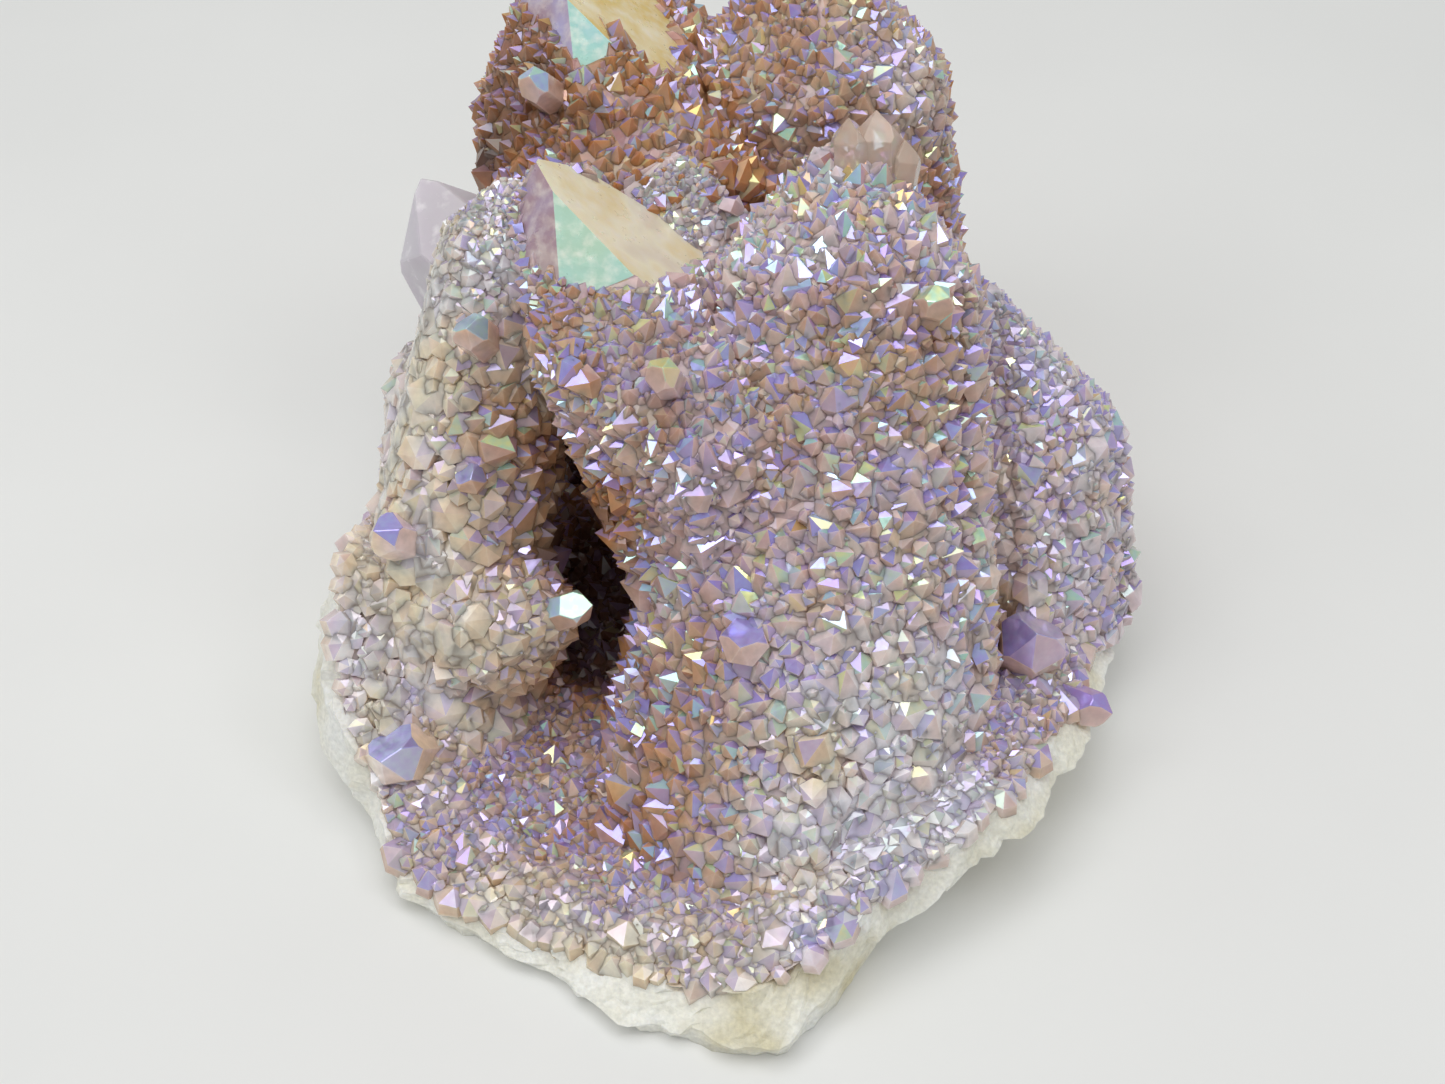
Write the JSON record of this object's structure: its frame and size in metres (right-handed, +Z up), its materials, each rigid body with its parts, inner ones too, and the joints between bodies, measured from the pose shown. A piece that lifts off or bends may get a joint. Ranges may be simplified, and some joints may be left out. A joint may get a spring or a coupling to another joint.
{
  "type": "aura spirit quartz cluster",
  "caption": "Mineral specimen: tapering quartz points crusted with small iridescent crystals, grown together on a broken base of milky quartz.",
  "frame": {"origin": "in the flat face of the base, below the middle of the cluster's width, towards the front", "axes": "+Z up, -Y towards the front where the base thins out, +X to the right seen from the front"},
  "size_m": [0.0953, 0.1081, 0.071],
  "materials": {
    "milky_quartz": "rough broken milky quartz, cream with yellowish stain",
    "aura_quartz": "glassy lavender quartz with an iridescent vapour coating, violet, blue, mint and gold by facet, brown in the depths",
    "smooth_quartz": "smooth, cloudy pale lavender quartz with the same coating"
  },
  "bodies": {
    "root": {"matrix": "milky_quartz", "spirit_points": "aura_quartz", "bare_point": "smooth_quartz"}
  },
  "joints": []
}
